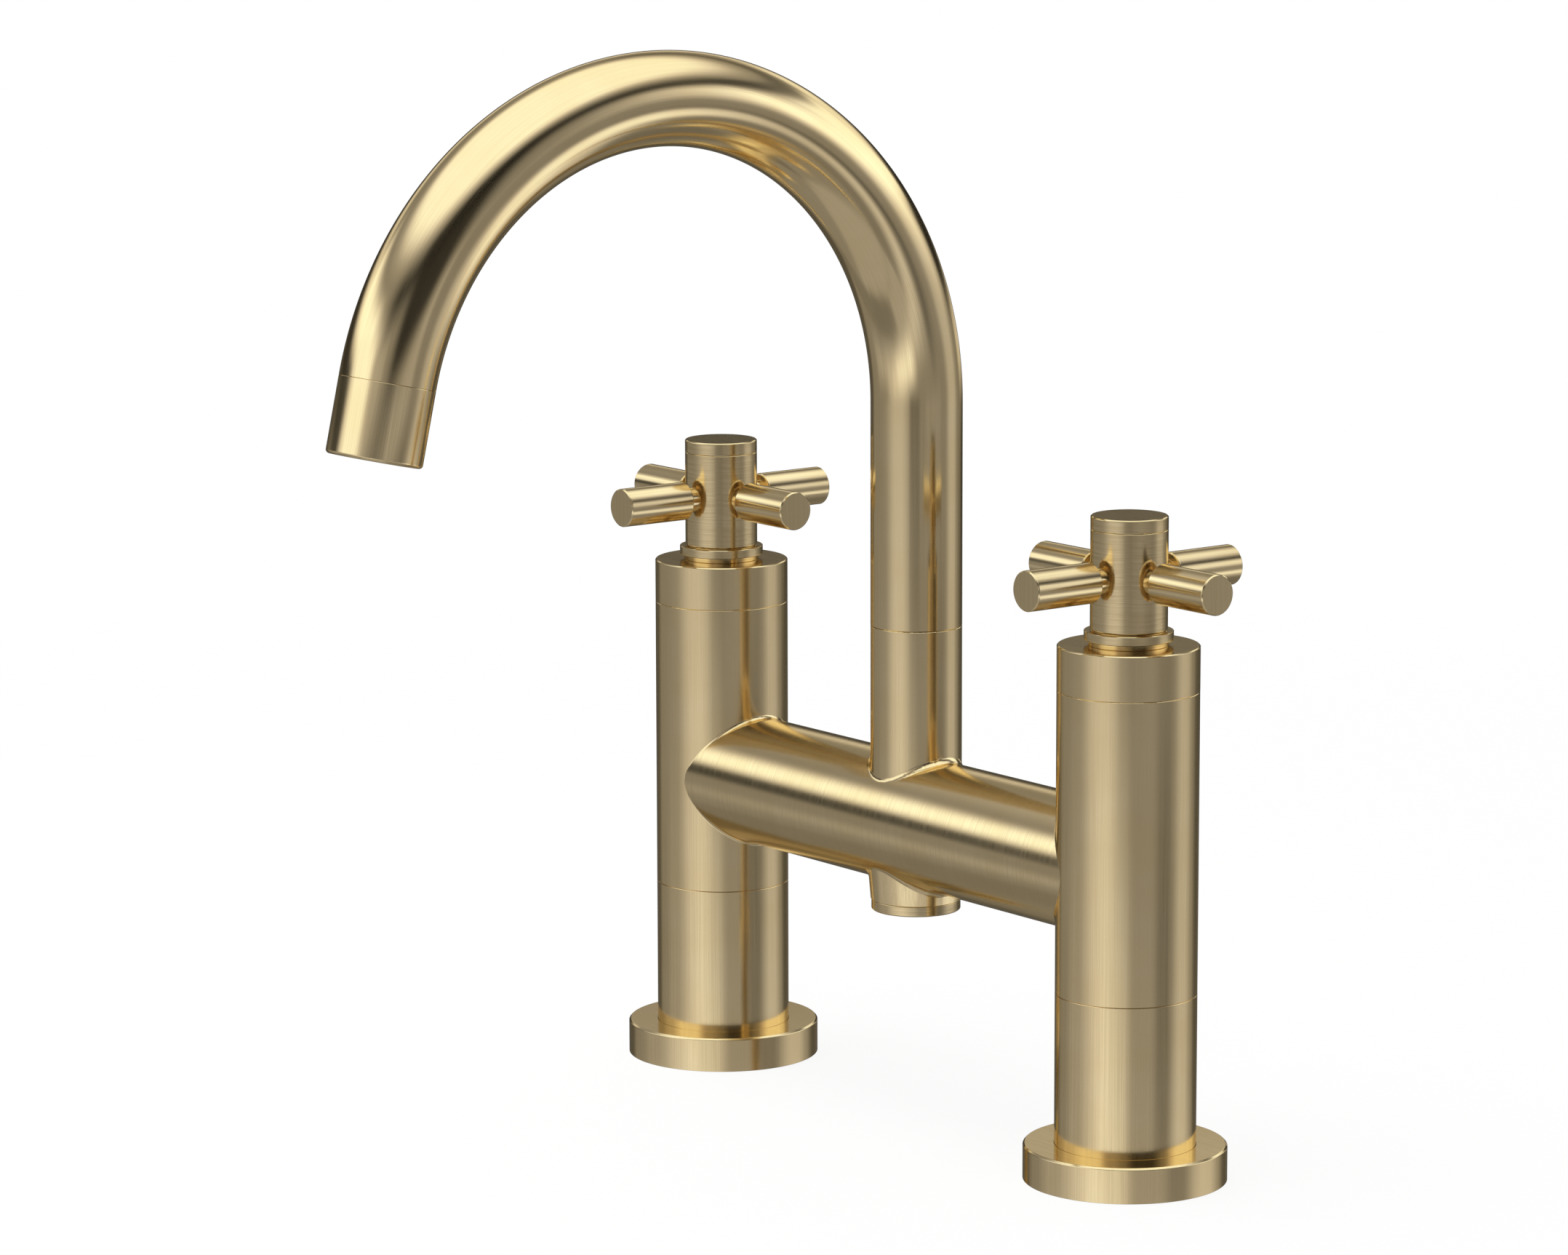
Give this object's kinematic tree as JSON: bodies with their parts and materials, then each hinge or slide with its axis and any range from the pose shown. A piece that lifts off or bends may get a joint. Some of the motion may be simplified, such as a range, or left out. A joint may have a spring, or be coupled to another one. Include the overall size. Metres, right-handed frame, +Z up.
{
  "type": "bath filler tap",
  "caption": "Deck-mounted bath filler tap: pillars on round rosettes joined by a bridge, with a swivelling swan-neck spout and crosshead handles.",
  "frame": {"origin": "on the deck's top surface, midway between the two pillars", "axes": "+X along the bridge from the hot to the cold pillar, -Y the way the spout reaches over the bath, +Z up"},
  "size_m": [0.2504, 0.2252, 0.3502],
  "materials": {
    "brushed_gold": "satin brushed champagne gold plating on brass",
    "plain_brass": "machined brass, unplated",
    "stainless_steel": "plain stainless steel",
    "black_rubber": "black nitrile rubber",
    "white_ceramic": "lapped white alumina ceramic",
    "white_acetal": "white acetal bearing plastic",
    "grey_acetal": "light grey acetal aerator insert"
  },
  "bodies": {
    "mixer": {"mixer_body": "brushed_gold", "blanking_plug": "brushed_gold", "plug_o_ring": "black_rubber", "spout_bearing_ring": "white_acetal", "spout_grub_screw": "stainless_steel", "hot_deck_seal": "black_rubber", "hot_rosette": "brushed_gold", "hot_leg": "brushed_gold", "hot_tail": "plain_brass", "hot_clamp_washer": "stainless_steel", "hot_back_nut": "plain_brass", "hot_shroud": "brushed_gold", "hot_valve_body": "plain_brass", "hot_valve_o_ring": "black_rubber", "hot_seat_seal": "black_rubber", "hot_fixed_disc": "white_ceramic", "hot_collar": "brushed_gold", "hot_trim_ring": "brushed_gold", "cold_deck_seal": "black_rubber", "cold_rosette": "brushed_gold", "cold_leg": "brushed_gold", "cold_tail": "plain_brass", "cold_clamp_washer": "stainless_steel", "cold_back_nut": "plain_brass", "cold_shroud": "brushed_gold", "cold_valve_body": "plain_brass", "cold_valve_o_ring": "black_rubber", "cold_seat_seal": "black_rubber", "cold_fixed_disc": "white_ceramic", "cold_collar": "brushed_gold", "cold_trim_ring": "brushed_gold"},
    "hot_handle": {"hot_spindle": "plain_brass", "hot_spindle_o_ring": "black_rubber", "hot_spindle_clip": "stainless_steel", "hot_moving_disc": "white_ceramic", "hot_hub": "brushed_gold", "hot_handle_screw": "stainless_steel", "hot_cap": "brushed_gold", "hot_arm_right": "brushed_gold", "hot_arm_back": "brushed_gold", "hot_arm_left": "brushed_gold", "hot_arm_front": "brushed_gold"},
    "cold_handle": {"cold_spindle": "plain_brass", "cold_spindle_o_ring": "black_rubber", "cold_spindle_clip": "stainless_steel", "cold_moving_disc": "white_ceramic", "cold_hub": "brushed_gold", "cold_handle_screw": "stainless_steel", "cold_cap": "brushed_gold", "cold_arm_right": "brushed_gold", "cold_arm_back": "brushed_gold", "cold_arm_left": "brushed_gold", "cold_arm_front": "brushed_gold"},
    "spout": {"spout_tube": "brushed_gold", "spout_spigot": "plain_brass", "spout_o_rings": "black_rubber", "spout_nozzle": "brushed_gold", "aerator_washer": "black_rubber", "aerator": "grey_acetal"}
  },
  "joints": [
    {"name": "hot_handle_turn", "type": "hinge", "parent": "mixer", "child": "hot_handle", "pos_m": [-0.09, 0, 0.1628], "axis": [0, 0, -1], "range_deg": [0, 90]},
    {"name": "cold_handle_turn", "type": "hinge", "parent": "mixer", "child": "cold_handle", "pos_m": [0.09, 0, 0.1628], "axis": [0, 0, 1], "range_deg": [0, 90]},
    {"name": "spout_swivel", "type": "hinge", "parent": "mixer", "child": "spout", "pos_m": [0, 0, 0.13795], "axis": [0, 0, 1], "continuous": true}
  ]
}
